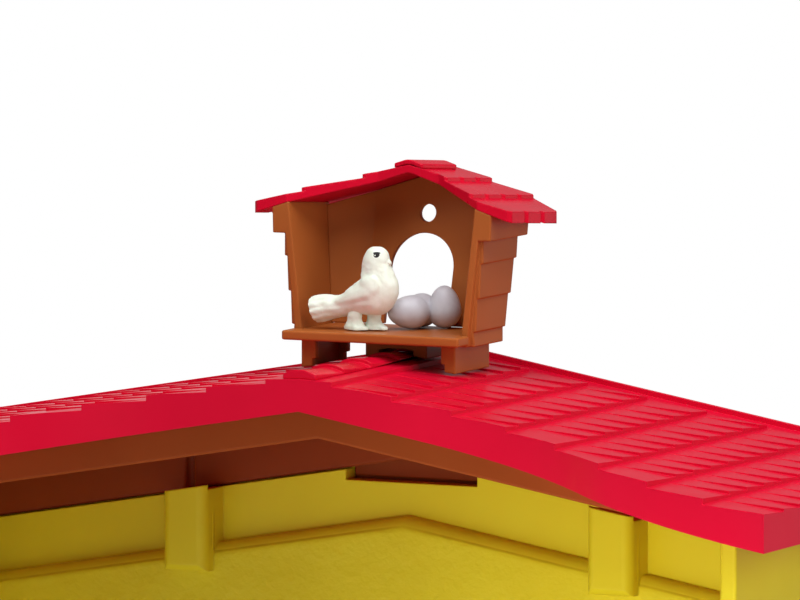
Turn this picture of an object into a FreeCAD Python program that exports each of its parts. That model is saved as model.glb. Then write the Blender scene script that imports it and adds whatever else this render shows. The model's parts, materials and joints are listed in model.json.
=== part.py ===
import FreeCAD
import Part
import math
import os
import re
import Sketcher

# A toy barn, open at the front, with a dovecote on the ridge of its lift-off roof.
# Millimetres. The ground is Z = 0, the ridge runs along Y, the open side faces -Y.

SIZES = {
    # Barn roof: two shingled slopes
    "soffit_apex": 160.0,
    "roof_slope": 0.1734,
    "roof_half": 164.0,
    "roof_depth": 94.0,
    "roof_sheet": 3.0,
    "fascia_height": 9.5,
    "fascia_thick": 3.0,
    "rim_gap": 6.5,
    "rim_thick": 1.5,
    "rim_lip": 1.6,
    "flare_depth": 40.0,
    "flare_from": 38.0,
    "flare_to": 160.0,
    "first_butt": 10.6,
    "shingle_rows": 8,
    "shingle_width": 12.0,
    "shingle_step": 0.9,
    "shingle_lap": 0.9,
    "verge_setback": 0.6,
    # Ridge tiles
    "ridge_tiles": 5,
    "ridge_half": 5.2,
    "ridge_rise": 2.6,
    "ridge_lap": 1.5,
    # Barn walls
    "wall_setback": 82.0,
    "eave_overhang": 24.0,
    "wall_drop": 21.5,
    "wall_upper": 6.5,
    "wall_lower": 13.0,
    "ledge_drop": 38.0,
    "ledge_slant": 2.6,
    "wall_lip": 1.4,
    "wall_lip_rise": 1.5,
    "notch_half": 21.5,
    "notch_drop": 28.4,
    "side_thick": 5.0,
    "side_forward": 16.0,
    "roof_gap": 0.3,
    # Socket posts and the tongues of the roof
    "post_centre": 69.4,
    "post_width": 14.5,
    "post_depth": 19.0,
    "post_drop": 57.0,
    "post_round": 3.2,
    "post_lip": 2.6,
    "post_lip_rise": 1.4,
    "tongue_width": 8.0,
    "tongue_thick": 2.7,
    "tongue_length": 16.0,
    "fit_gap": 0.3,
    # Snap tabs between the side walls and the back wall
    "tab_height": 14.0,
    "tab_thick": 4.0,
    "tab_length": 5.0,
    "tab_low": 18.0,
    "tab_high": 70.0,
    # Boards under the roof
    "truss_setback": 12.2,
    "truss_thick": 4.0,
    "truss_drop": 9.0,
    "board_end_gap": 0.6,
    "board_setback": 76.3,
    "board_thick": 4.0,
    "board_joint": 73.8,
    "board_joint_gap": 2.4,
    "board_rebate": 2.0,
    "tab_plate": 2.5,
    "tab_overlap": 6.0,
    "tab_gap": 1.0,
    # Barn door in the back wall
    "door_half": 46.0,
    "door_sill": 4.0,
    "door_height": 88.0,
    "door_thick": 4.0,
    "door_gap": 0.4,
    "door_ledge": 9.0,
    "door_ledge_rise": 1.2,
    "door_ledge_inset": 8.0,
    "pivot_diameter": 2.6,
    "pivot_length": 3.0,
    # Dovecote: floor and walls
    "cote_lift": 8.8,
    "cote_setback": 47.0,
    "cote_lip": 7.9,
    "cote_floor_thick": 2.8,
    "cote_lip_half": 28.7,
    "cote_half_low": 26.0,
    "cote_half_high": 30.0,
    "cote_wall_height": 35.0,
    "cote_board": 2.2,
    "cote_side_depth_low": 20.1,
    "cote_side_depth_high": 25.1,
    "cote_back_depth_low": 23.1,
    "cote_back_depth_high": 32.6,
    "cote_back_thick": 1.8,
    "cote_back_panel": 17.0,
    "arch_half": 10.3,
    "arch_spring": 16.4,
    "peep_diameter": 5.2,
    "peep_height": 32.5,
    "plank_head": 0.9,
    "plank_butt": 1.7,
    "plank_front": 1.6,
    "top_plank_rise": 4.0,
    "top_plank_low": 27.9,
    "plank_one_low": 21.1,
    "plank_two_low": 10.8,
    "plank_three_low": 1.0,
    "skirt_drop": 3.4,
    # Dovecote feet and saddle
    "foot_outer": 25.0,
    "foot_width": 4.6,
    "foot_web": 2.0,
    "foot_flange": 2.4,
    "foot_front": 5.8,
    "foot_depth": 23.7,
    "foot_notch": 2.2,
    "saddle_half": 10.0,
    "saddle_front": 18.0,
    "saddle_depth": 14.0,
    # Dovecote roof
    "cote_roof_rise": 49.3,
    "cote_roof_slope": 0.325,
    "cote_roof_fall": 0.08,
    "cote_roof_half": 41.8,
    "cote_roof_depth": 29.7,
    "cote_roof_sheet": 2.2,
    "cote_sweep": 18.5,
    "cote_sweep_from": 10.0,
    "cote_sweep_to": 31.0,
    "cote_rear_from": 27.0,
    "cote_eave_depth": 33.5,
    "cote_shingle_rows": 3,
    "cote_shingle_width": 11.2,
    "cote_shingle_step": 1.2,
    "cote_shingle_corner": 1.3,
    "cote_cap_half": 4.6,
    "cote_cap_rise": 1.0,
    "cote_cap_short": 6.0,
    # Figures on the dovecote floor
    "stand_gap": 0.3,
    "dove_height": 24.8,
    "dove_offset": -6.0,
    "dove_depth": 9.3,
    "egg_diameter": 10.0,
    "egg_length": 12.6,
    "egg_offset": 8.2,
    "egg_depth": 22.5,
    "egg_spread": 4.3,
    "egg_sunk": 0.2,
    "egg_taper": 0.12,
    "ring_count": 16,
}

# Places worked out from the sizes, as expressions in the sheet's names
FRONT = "((flare_depth - roof_depth - rim_gap - rim_thick) / 2)"
REAR = f"({FRONT} + roof_depth + rim_gap + rim_thick)"
ROOF_TOP = "(soffit_apex + fascia_height)"
ROOF_UNDER = f"({ROOF_TOP} - roof_sheet)"
WALL_OUTER = f"({FRONT} + wall_setback)"
WALL_HALF = "(roof_half - eave_overhang)"
WALL_APEX = "(soffit_apex - wall_drop)"
SIDE_TOP = f"({ROOF_UNDER} - roof_slope * ({WALL_HALF} + side_thick) - roof_gap)"
BOARD_FRONT = f"({FRONT} + board_setback)"
BOARD_HALF = f"({WALL_HALF} - board_end_gap)"
COTE_FLOOR = f"({ROOF_TOP} + cote_lift)"
COTE_FRONT = f"({FRONT} + cote_setback + cote_lip)"
PIVOT_X = "(door_half - door_gap - door_thick / 2)"
PIVOT_Y = f"({WALL_OUTER} - door_thick / 2)"

doc = FreeCAD.newDocument("toy_farm_playset")
sheet = doc.addObject("Spreadsheet::Sheet", "Sizes")
for row, (alias, number) in enumerate(SIZES.items(), start=1):
    sheet.set(f"A{row}", alias)
    sheet.set(f"B{row}", str(number))
    sheet.setAlias(f"B{row}", alias)
doc.recompute()

subparts = []


# Helpers: sizes, expressions and sketches

def bound(expression):
    """The expression with each of the sheet's names written out in full."""
    def full(match):
        word = match.group()
        return f"Sizes.{word}" if word in SIZES else word
    return re.sub(r"[A-Za-z_]+", full, expression)


def value(expression):
    """The expression's present value, in millimetres."""
    return float(sheet.evalExpression(bound(expression).replace("Sizes.", "")))


def vector(x, y, z):
    return FreeCAD.Vector(x, y, z)


def finished(label, subpart):
    """Name a sub-part and put it on the list of pieces to write."""
    subpart.Label = label
    subparts.append(subpart)
    return subpart


def shaped(label, shape):
    """A sub-part whose form is worked out in code from the sheet's sizes."""
    feature = doc.addObject("Part::Feature", label)
    feature.Shape = shape
    feature.Placement = FreeCAD.Placement()
    return finished(label, feature)


def mirrored(label, source):
    """The same piece for the other side of the ridge."""
    mirror = doc.addObject("Part::Mirroring", label)
    mirror.Source = source
    mirror.Normal = vector(1, 0, 0)
    mirror.Base = vector(0, 0, 0)
    return finished(label, mirror)


def new_body(label):
    return finished(label, doc.addObject("PartDesign::Body", label))


def sketch_on(body, role, offset="0"):
    """A sketch on one of the body's own planes, moved along its normal."""
    sketch = body.newObject("Sketcher::SketchObject", f"{body.Name}_sketch")
    plane = [feature for feature in body.Origin.OriginFeatures if feature.Role == role][0]
    sketch.AttachmentSupport = (plane, "")
    sketch.MapMode = "FlatFace"
    sketch.setExpression("AttachmentOffset.Base.z", bound(offset))
    return sketch


def outline(sketch, corners):
    """A closed polygon whose corners are pairs of expressions."""
    first = sketch.GeometryCount
    count = len(corners)
    points = [vector(value(x), value(y), 0) for x, y in corners]
    for index in range(count):
        sketch.addGeometry(Part.LineSegment(points[index], points[(index + 1) % count]), False)
    for index in range(count):
        follower = first + (index + 1) % count
        sketch.addConstraint(Sketcher.Constraint("Coincident", first + index, 2, follower, 1))
    for index, corner in enumerate(corners):
        for kind, expression in zip(("DistanceX", "DistanceY"), corner):
            size = value(expression)
            rule = Sketcher.Constraint(kind, -1, 1, first + index, 1, size)
            number = sketch.addConstraint(rule)
            sketch.setExpression(f"Constraints[{number}]", bound(expression))
    return sketch


def rectangle(sketch, left, low, right, high):
    return outline(sketch, [(left, low), (right, low), (right, high), (left, high)])


def circle(sketch, across, up, radius):
    """A full circle with its centre and radius bound to the sheet."""
    centre = vector(value(across), value(up), 0)
    index = sketch.addGeometry(Part.Circle(centre, vector(0, 0, 1), value(radius)), False)
    for kind, expression in (("DistanceX", across), ("DistanceY", up)):
        number = sketch.addConstraint(Sketcher.Constraint(kind, -1, 1, index, 3, value(expression)))
        sketch.setExpression(f"Constraints[{number}]", bound(expression))
    number = sketch.addConstraint(Sketcher.Constraint("Radius", index, value(radius)))
    sketch.setExpression(f"Constraints[{number}]", bound(radius))
    return sketch


def pad(body, sketch, length, backwards=False):
    feature = body.newObject("PartDesign::Pad", f"{body.Name}_pad")
    feature.Profile = sketch
    feature.setExpression("Length", bound(length))
    feature.Reversed = backwards
    return feature


def pocket(body, sketch, depth=None, backwards=False):
    """A cut against the sketch's normal, or right through both ways where no depth is given."""
    doc.recompute()
    before = body.Shape.Volume
    feature = body.newObject("PartDesign::Pocket", f"{body.Name}_pocket")
    feature.Profile = sketch
    if depth is None:
        feature.Type = "ThroughAll"
        feature.Midplane = True
    else:
        feature.setExpression("Length", bound(depth))
        feature.Reversed = backwards
    doc.recompute()
    if body.Shape.Volume >= before:
        raise RuntimeError(f"{body.Label}: a pocket cuts nothing")
    return feature


# Helpers: solids in code

def polygon_face(points):
    return Part.Face(Part.makePolygon(points + points[:1]))


def slab(points, height, thick):
    """A plate under the plan points, lifted to the flat surface height(x, y)."""
    lifted = [vector(x, y, height(x, y)) for x, y in points]
    return polygon_face(lifted).extrude(vector(0, 0, -thick))


def prism_along_y(section, start, end):
    """A bar with the section (x, z) that runs from start to end along Y."""
    face = polygon_face([vector(x, start, z) for x, z in section])
    return face.extrude(vector(0, end - start, 0))


def fused(solids):
    """One clean solid from many that overlap."""
    return solids[0].multiFuse(solids[1:]).removeSplitter()


# Barn walls

def chevron_corners(half, apex, apex_low, slope="roof_slope"):
    """Corners of an inverted V between two parallel edges, or of a gable on a level base."""
    return [
        (f"-{half}", f"{apex_low} - {slope} * {half}"),
        ("0", apex_low),
        (half, f"{apex_low} - {slope} * {half}"),
        (half, f"{apex} - {slope} * {half}"),
        ("0", apex),
        (f"-{half}", f"{apex} - {slope} * {half}"),
    ]


def gable_corners(half, apex):
    return [
        (f"-{half}", "0"),
        (half, "0"),
        (half, f"{apex} - roof_slope * {half}"),
        ("0", apex),
        (f"-{half}", f"{apex} - roof_slope * {half}"),
    ]


def side_edges(shape, front, low_centre):
    """Names of the edges on a front plane that a moulding rounds: upright ones and low level ones."""
    names = []
    for index, edge in enumerate(shape.Edges, start=1):
        ends = [vertex.Point for vertex in edge.Vertexes]
        on_front = all(abs(point.y - front) < 0.01 for point in ends)
        upright = len(ends) == 2 and abs(ends[0].x - ends[1].x) < 0.01
        low = all(abs(point.z - low_centre) < 0.01 for point in ends)
        if on_front and (upright or low):
            names.append(f"Edge{index}")
    return names


def ledge_edges(shape, front, apex):
    """Names of the sloping edges along the front of the ledge."""
    names = []
    for index, edge in enumerate(shape.Edges, start=1):
        ends = [vertex.Point for vertex in edge.Vertexes]
        on_line = [abs(point.y - front) < 0.01
                   and abs(point.z - apex + value("roof_slope") * abs(point.x)) < 0.01 for point in ends]
        if len(ends) == 2 and all(on_line):
            names.append(f"Edge{index}")
    return names


def make_back_wall():
    body = new_body("back_wall")
    outer = f"-{WALL_OUTER}"
    pad(body, outline(sketch_on(body, "XZ_Plane", outer), gable_corners(WALL_HALF, WALL_APEX)),
        "wall_upper")
    lip_apex = f"({WALL_APEX} + wall_lip_rise)"
    pad(body, outline(sketch_on(body, "XZ_Plane", outer), gable_corners(WALL_HALF, lip_apex)),
        "wall_lip")
    ledge = "(soffit_apex - ledge_drop)"
    pad(body, outline(sketch_on(body, "XZ_Plane", outer), gable_corners(WALL_HALF, ledge)),
        "wall_lower")
    for side in ("-", "+"):
        near = f"{side}1 * (post_centre - post_width / 2)"
        far = f"{side}1 * (post_centre + post_width / 2)"
        base = "(soffit_apex - post_drop)"
        posts = outline(sketch_on(body, "XZ_Plane", outer), [
            (near, base),
            (far, base),
            (far, f"{WALL_APEX} - roof_slope * (post_centre + post_width / 2)"),
            (near, f"{WALL_APEX} - roof_slope * (post_centre - post_width / 2)"),
        ])
        pad(body, posts, "post_depth")
        lip = f"({WALL_APEX} + post_lip_rise)"
        lips = outline(sketch_on(body, "XZ_Plane", f"-({WALL_OUTER} - post_depth + post_lip)"), [
            (near, base),
            (far, base),
            (far, f"{lip} - roof_slope * (post_centre + post_width / 2)"),
            (near, f"{lip} - roof_slope * (post_centre - post_width / 2)"),
        ])
        pad(body, lips, "post_lip")
    doc.recompute()
    post_front = value(f"{WALL_OUTER} - post_depth")
    moulding = body.Tip
    names = side_edges(moulding.Shape, post_front, value("soffit_apex - post_drop"))
    rounding = body.newObject("PartDesign::Fillet", "back_wall_fillet")
    rounding.Base = (moulding, names)
    rounding.setExpression("Radius", bound("post_round"))
    doc.recompute()
    slant = body.newObject("PartDesign::Chamfer", "back_wall_chamfer")
    slant.Base = (rounding, ledge_edges(rounding.Shape, value(f"{WALL_OUTER} - wall_lower"), value(ledge)))
    slant.setExpression("Size", bound("ledge_slant"))
    doc.recompute()
    pocket(body, rectangle(sketch_on(body, "XZ_Plane"), "-notch_half", "soffit_apex - notch_drop",
                           "notch_half", "soffit_apex"))
    pocket(body, rectangle(sketch_on(body, "XZ_Plane"), "-door_half", "door_sill",
                           "door_half", "door_sill + door_height"))
    tongue_front = f"({BOARD_FRONT} - fit_gap)"
    tongue_rear = f"({BOARD_FRONT} + tongue_thick + fit_gap)"
    for side in ("-", "+"):
        near = f"{side}1 * post_centre - tongue_width / 2 - fit_gap"
        far = f"{side}1 * post_centre + tongue_width / 2 + fit_gap"
        socket = sketch_on(body, "XY_Plane", WALL_APEX)
        rectangle(socket, near, tongue_front, far, tongue_rear)
        pocket(body, socket, "roof_slope * (post_centre + tongue_width) + tongue_length + fit_gap")
        pivot = sketch_on(body, "XY_Plane", "door_sill + door_height + pivot_length + fit_gap")
        circle(pivot, f"{side}1 * {PIVOT_X}", PIVOT_Y, "pivot_diameter / 2 + fit_gap")
        pocket(body, pivot, "door_height + 2 * (pivot_length + fit_gap)")
        wall_end = sketch_on(body, "YZ_Plane", f"{side}1 * {WALL_HALF}")
        for low in ("tab_low", "tab_high"):
            rectangle(wall_end, f"{WALL_OUTER} - wall_lower / 2 - tab_thick / 2 - fit_gap",
                      f"{low} - fit_gap",
                      f"{WALL_OUTER} - wall_lower / 2 + tab_thick / 2 + fit_gap",
                      f"{low} + tab_height + fit_gap")
        pocket(body, wall_end, "tab_length + fit_gap", backwards=side == "-")
    return body


def make_side_walls():
    body = new_body("right_wall")
    panel = sketch_on(body, "YZ_Plane", WALL_HALF)
    rectangle(panel, f"{FRONT} - side_forward", "0", WALL_OUTER, SIDE_TOP)
    pad(body, panel, "side_thick")
    tabs = sketch_on(body, "YZ_Plane", WALL_HALF)
    for low in ("tab_low", "tab_high"):
        rectangle(tabs, f"{WALL_OUTER} - wall_lower / 2 - tab_thick / 2", low,
                  f"{WALL_OUTER} - wall_lower / 2 + tab_thick / 2", f"{low} + tab_height")
    pad(body, tabs, "tab_length", backwards=True)
    doc.recompute()
    mirrored("left_wall", body)


def make_doors():
    body = new_body("right_door")
    low = "door_sill + door_gap"
    tall = "door_height - 2 * door_gap"
    face_rear = WALL_OUTER
    face_front = f"{WALL_OUTER} - door_thick"
    leaf = sketch_on(body, "XY_Plane", low)
    rectangle(leaf, "door_gap / 2", face_front, PIVOT_X, face_rear)
    pad(body, leaf, tall)
    barrel = sketch_on(body, "XY_Plane", low)
    circle(barrel, PIVOT_X, PIVOT_Y, "door_thick / 2")
    pad(body, barrel, tall)
    pins = sketch_on(body, "XY_Plane", "door_sill - pivot_length")
    circle(pins, PIVOT_X, PIVOT_Y, "pivot_diameter / 2")
    pad(body, pins, "door_height + 2 * pivot_length")
    ledge_far = f"{PIVOT_X} - door_ledge_inset"
    ledges = sketch_on(body, "XZ_Plane", f"-{WALL_OUTER}")
    for base in ("door_sill + door_ledge_inset", "door_sill + door_height - door_ledge_inset - door_ledge"):
        rectangle(ledges, "door_ledge_inset / 2", base, ledge_far, f"{base} + door_ledge")
    pad(body, ledges, "door_ledge_rise", backwards=True)
    brace = sketch_on(body, "XZ_Plane", f"-{WALL_OUTER}")
    brace_low = "door_sill + door_ledge_inset + door_ledge"
    brace_high = "door_sill + door_height - door_ledge_inset - door_ledge"
    outline(brace, [
        (f"{ledge_far} - door_ledge", brace_low),
        (ledge_far, brace_low),
        ("door_ledge_inset / 2 + door_ledge", brace_high),
        ("door_ledge_inset / 2", brace_high),
    ])
    pad(body, brace, "door_ledge_rise", backwards=True)
    doc.recompute()
    mirrored("left_door", body)


# Boards carried by the roof

def make_truss():
    body = new_body("front_truss")
    sketch = sketch_on(body, "XZ_Plane", f"-({FRONT} + truss_setback)")
    outline(sketch, chevron_corners(BOARD_HALF, ROOF_UNDER, "(soffit_apex - truss_drop)"))
    pad(body, sketch, "truss_thick", backwards=True)


def make_gable_boards():
    plane = f"-{BOARD_FRONT}"
    low = f"({WALL_APEX} + roof_gap)"
    joint = "(board_joint - board_joint_gap / 2)"
    centre = new_body("gable_board_centre")
    pad(centre, outline(sketch_on(centre, "XZ_Plane", plane), chevron_corners(joint, ROOF_UNDER, low)),
        "board_thick", backwards=True)
    right = new_body("gable_board_right")
    near = "(board_joint + board_joint_gap / 2)"

    def board_corners(start):
        return [
            (start, f"{low} - roof_slope * {start}"),
            (BOARD_HALF, f"{low} - roof_slope * {BOARD_HALF}"),
            (BOARD_HALF, f"{ROOF_UNDER} - roof_slope * {BOARD_HALF}"),
            (start, f"{ROOF_UNDER} - roof_slope * {start}"),
        ]

    pad(right, outline(sketch_on(right, "XZ_Plane", plane), board_corners(near)),
        "board_thick", backwards=True)
    rebate = sketch_on(right, "XZ_Plane", f"-({BOARD_FRONT} + board_rebate)")
    pad(right, outline(rebate, board_corners(joint)), "board_thick - board_rebate", backwards=True)
    doc.recompute()
    mirrored("gable_board_left", right)

    tab = new_body("gable_tab")
    tab_front = f"-({BOARD_FRONT} + board_thick)"
    plate_front = f"-({WALL_OUTER} + fit_gap)"
    half = "(notch_half - fit_gap * 2)"
    top = f"({WALL_APEX} + tab_overlap)"
    inner = sketch_on(tab, "XZ_Plane", tab_front)
    rectangle(inner, f"-{half}", "soffit_apex - notch_drop + tab_gap", half, top)
    pad(tab, inner, "wall_setback + fit_gap - board_setback - board_thick", backwards=True)
    plate = sketch_on(tab, "XZ_Plane", plate_front)
    plate_half = "(notch_half + tab_overlap / 2)"
    rectangle(plate, f"-{plate_half}", "soffit_apex - notch_drop - tab_overlap", plate_half, top)
    pad(tab, plate, "tab_plate", backwards=True)


def make_tongues():
    body = new_body("roof_tongue_right")
    near = "(post_centre - tongue_width / 2)"
    far = "(post_centre + tongue_width / 2)"
    low_edge = f"({WALL_APEX} + roof_gap)"
    sketch = sketch_on(body, "XZ_Plane", f"-{BOARD_FRONT}")
    foot = f"({WALL_APEX} - roof_slope * {far} - tongue_length)"
    outline(sketch, [
        (near, foot),
        (far, foot),
        (far, f"{low_edge} - roof_slope * {far}"),
        (near, f"{low_edge} - roof_slope * {near}"),
    ])
    pad(body, sketch, "tongue_thick", backwards=True)
    doc.recompute()
    mirrored("roof_tongue_left", body)


# Shingled barn roof

def flare(x):
    """How far the front verge stands forward of its straight middle at x."""
    start = value("flare_from")
    span = value("flare_to") - start
    depth = value("flare_depth")
    radius = (span * span / 4 + depth * depth / 4) / depth
    run = min(max(x - start, 0), span)
    if run <= span / 2:
        return radius - math.sqrt(radius * radius - run * run)
    return depth - radius + math.sqrt(radius * radius - (span - run) ** 2)


def roof_plan(inset_front, inset_eave, inset_rear):
    """Plan of the right slope: straight at the ridge, two arcs where the verge flares."""
    start = value("flare_from")
    end = value("flare_to")
    middle = (start + end) / 2
    eave = value("roof_half") - inset_eave
    front = value(FRONT) + inset_front
    rear = value(REAR) - inset_rear

    def verge(x):
        return vector(x, front - flare(x), 0)

    edges = [
        Part.makeLine(vector(0, front, 0), verge(start)),
        Part.Arc(verge(start), verge((start + middle) / 2), verge(middle)).toShape(),
        Part.Arc(verge(middle), verge((middle + end) / 2), verge(end)).toShape(),
        Part.makeLine(verge(end), verge(eave)),
        Part.makeLine(verge(eave), vector(eave, rear, 0)),
        Part.makeLine(vector(eave, rear, 0), vector(0, rear, 0)),
        Part.makeLine(vector(0, rear, 0), vector(0, front, 0)),
    ]
    return Part.Face(Part.Wire(edges))


def roof_layer(plan, top, thick):
    """The part of a slope that lies under the plan, between top and top - thick at the ridge."""
    eave = value("roof_half")
    fall = value("roof_slope") * eave
    half_depth = value("roof_depth") + value("flare_depth")
    section = [(0, top), (eave, top - fall), (eave, top - fall - thick), (0, top - thick)]
    column = plan.extrude(vector(0, 0, top + thick))
    return column.common(prism_along_y(section, -half_depth, half_depth))


def barn_shingles(top):
    """Rows of shingles along the ridge, each lapped on the next row and, at its butt, on its neighbour.
    The last shingle of a row reaches past the verge, for the roof's plan to trim."""
    first = value("first_butt")
    rows = int(value("shingle_rows"))
    run = (value("roof_half") - first) / rows
    width = value("shingle_width")
    front = value(FRONT) - value("fascia_thick")
    rear = value(REAR) - value("rim_thick") - value("rim_gap")
    slope = value("roof_slope")
    solids = []
    for row in range(rows + 1):
        head = first + (row - 1) * run if row else 0
        butt = first + row * run
        lap = value("shingle_lap") if row else 0
        rise = value("shingle_step") + (value("shingle_lap") - lap) / 2
        verge_head = front - flare(head)
        verge_butt = front - flare(butt)
        far = rear
        near = rear - (width / 2 if row % 2 else width)
        last = False
        while not last:
            last = near < verge_head + width / 2
            near_head = verge_head if last else near
            near_butt = verge_butt if last else near

            def height(x, y, head=head, butt=butt, lap=lap, rise=rise, low=near_butt):
                lift = rise + lap if y == low else rise
                return top - slope * x + (lift if x == butt else 0)

            for corners in ([(head, far), (head, near_head), (butt, near_butt)],
                            [(head, far), (butt, near_butt), (butt, far)]):
                solids.append(slab(corners, height, rise + lap + value("roof_sheet") / 3))
            far = near
            near = far - width
    return solids


def make_roof():
    top = value(ROOF_TOP)
    fascia = value("fascia_thick")
    rim = value("rim_thick")
    lip = value("rim_lip")
    shell = roof_layer(roof_plan(0, 0, 0), top, value("fascia_height"))
    hollow = roof_layer(roof_plan(fascia, fascia, rim), top - value("roof_sheet"),
                        value("fascia_height"))
    rim_band = roof_layer(roof_plan(0, 0, 0), top + lip, lip + rim)
    rim_inner = roof_layer(roof_plan(-fascia, -fascia, rim), top + lip + rim, 2 * lip + 4 * rim)
    solids = [shell.cut(hollow), rim_band.cut(rim_inner)] + barn_shingles(top)
    column = roof_plan(0, 0, 0).extrude(vector(0, 0, 2 * top))
    right = shaped("roof_right", fused(solids).common(column).removeSplitter())
    mirrored("roof_left", right)


def make_ridge_tiles():
    """A row of lapped half-round tiles that straddles the two slopes."""
    count = int(value("ridge_tiles"))
    start = value(FRONT) + value("verge_setback")
    end = value(REAR) - value("rim_thick") - value("rim_gap")
    length = (end - start) / count
    half = value("ridge_half")
    base = value(ROOF_TOP)
    rise = value("shingle_step") + value("shingle_lap") / 2
    edge = base - half * (value("roof_slope") - rise / value("first_butt"))

    def section(y, lift):
        left = vector(-half, y, edge)
        right = vector(half, y, edge)
        crown = vector(0, y, base + value("ridge_rise") - value("ridge_lap") + lift)
        side_left = vector(-half, y, left.z + lift)
        side_right = vector(half, y, right.z + lift)
        edges = [
            Part.Arc(side_left, crown, side_right).toShape(),
            Part.makeLine(side_right, right),
            Part.makeLine(right, vector(0, y, base)),
            Part.makeLine(vector(0, y, base), left),
            Part.makeLine(left, side_left),
        ]
        return Part.Wire(edges)

    tiles = []
    for tile in range(count):
        near = start + tile * length
        lap = value("ridge_lap")
        tiles.append(Part.makeLoft([section(near, lap), section(near + length, lap / 4)], True, True))
    shaped("ridge_tiles", fused(tiles))


# Dovecote

def cote_roof_height(x, y):
    """Top of the dovecote's roof sheet, which falls to the eaves and a little to the rear."""
    ridge = value(COTE_FLOOR) + value("cote_roof_rise")
    fall = value("cote_roof_fall") * (y - value(COTE_FRONT))
    return ridge - value("cote_roof_slope") * abs(x) - fall


def cote_sweep(x):
    """How far the dovecote roof's edge is drawn back at x, from nothing at the eave."""
    start = value("cote_sweep_from")
    end = value("cote_sweep_to")
    share = min(max((end - abs(x)) / (end - start), 0), 1)
    return value("cote_sweep") * share


def cote_rear(x):
    """Rear edge of the dovecote's roof at x, level at the ridge and drawn forward at the eave."""
    start = value("cote_rear_from")
    share = min(max((abs(x) - start) / (value("cote_roof_half") - start), 0), 1)
    ridge_rear = value("cote_sweep") + value("cote_roof_depth")
    return value(COTE_FRONT) + ridge_rear + (value("cote_eave_depth") - ridge_rear) * share


def under_cote_roof():
    """The room below the dovecote's roof sheet, to trim the walls to its slope."""
    reach = value("cote_roof_half")
    front = value(COTE_FRONT) - value("cote_roof_depth")
    rear = value(COTE_FRONT) + 3 * value("cote_roof_depth")
    depth = value("cote_roof_rise") * 2
    gap = value("cote_roof_sheet")

    def height(x, y):
        return cote_roof_height(x, y) - gap

    half = slab([(0, front), (reach, front), (reach, rear), (0, rear)], height, depth)
    return half


def cote_inner(z):
    """Inner face of a side wall at the height z above the floor."""
    share = z / value("cote_wall_height")
    return value("cote_half_low") + share * (value("cote_half_high") - value("cote_half_low"))


def make_cote_floor():
    body = new_body("cote_floor")
    sketch = sketch_on(body, "XY_Plane", f"{COTE_FLOOR} - cote_floor_thick")
    lip = "cote_lip_half"
    room = "(cote_half_low - cote_floor_thick * (cote_half_high - cote_half_low) / cote_wall_height)"
    front = f"({COTE_FRONT} - cote_lip)"
    walls = f"({COTE_FRONT} - fit_gap)"
    rear = f"({COTE_FRONT} + cote_back_depth_low)"
    outline(sketch, [
        (f"-{lip}", front), (lip, front), (lip, walls), (room, walls), (room, rear),
        (f"-{room}", rear), (f"-{room}", walls), (f"-{lip}", walls),
    ])
    pad(body, sketch, "cote_floor_thick")


def back_plan(sketch, half, side, middle):
    """Plan of the dovecote's back wall: a flat middle panel with two turned-in sides."""
    thick = "cote_back_thick"
    panel = "cote_back_panel"
    side_y = f"({COTE_FRONT} + {side})"
    middle_y = f"({COTE_FRONT} + {middle})"
    return outline(sketch, [
        (f"-{half}", side_y), (f"-{panel}", middle_y), (panel, middle_y), (half, side_y),
        (half, f"{side_y} + {thick}"), (panel, f"{middle_y} + {thick}"),
        (f"-{panel}", f"{middle_y} + {thick}"), (f"-{half}", f"{side_y} + {thick}"),
    ])


def make_cote_back_wall():
    body = new_body("cote_back_wall")
    low = sketch_on(body, "XY_Plane", COTE_FLOOR)
    back_plan(low, "cote_half_low", "cote_side_depth_low", "cote_back_depth_low")
    extra = "((cote_roof_rise - cote_wall_height) / cote_wall_height)"
    high = sketch_on(body, "XY_Plane", f"{COTE_FLOOR} + cote_roof_rise")
    grown = [f"({top} + ({top} - {base}) * {extra})" for top, base in (
        ("cote_half_high", "cote_half_low"),
        ("cote_side_depth_high", "cote_side_depth_low"),
        ("cote_back_depth_high", "cote_back_depth_low"))]
    back_plan(high, *grown)
    loft = body.newObject("PartDesign::AdditiveLoft", "cote_back_wall_loft")
    loft.Profile = low
    loft.Sections = [high]
    loft.Ruled = True
    doc.recompute()
    rear_fall = "cote_roof_fall * (cote_back_depth_high + cote_back_thick + cote_board)"
    apex = f"({COTE_FLOOR} + cote_roof_rise - cote_roof_sheet - {rear_fall})"
    for side in ("-", "+"):
        gable = sketch_on(body, "XZ_Plane")
        outline(gable, [
            ("0", apex),
            (f"{side}1 * cote_roof_half", f"{apex} - cote_roof_slope * cote_roof_half"),
            (f"{side}1 * cote_roof_half", f"{COTE_FLOOR} + 2 * cote_roof_rise"),
            ("0", f"{COTE_FLOOR} + 2 * cote_roof_rise"),
        ])
        pocket(body, gable)
    arch = sketch_on(body, "XZ_Plane")
    rectangle(arch, "-arch_half", COTE_FLOOR, "arch_half", f"{COTE_FLOOR} + arch_spring")
    pocket(body, arch)
    crown = sketch_on(body, "XZ_Plane")
    circle(crown, "0", f"{COTE_FLOOR} + arch_spring", "arch_half")
    pocket(body, crown)
    peep = sketch_on(body, "XZ_Plane")
    circle(peep, "0", f"{COTE_FLOOR} + peep_height", "peep_diameter / 2")
    pocket(body, peep)


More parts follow.
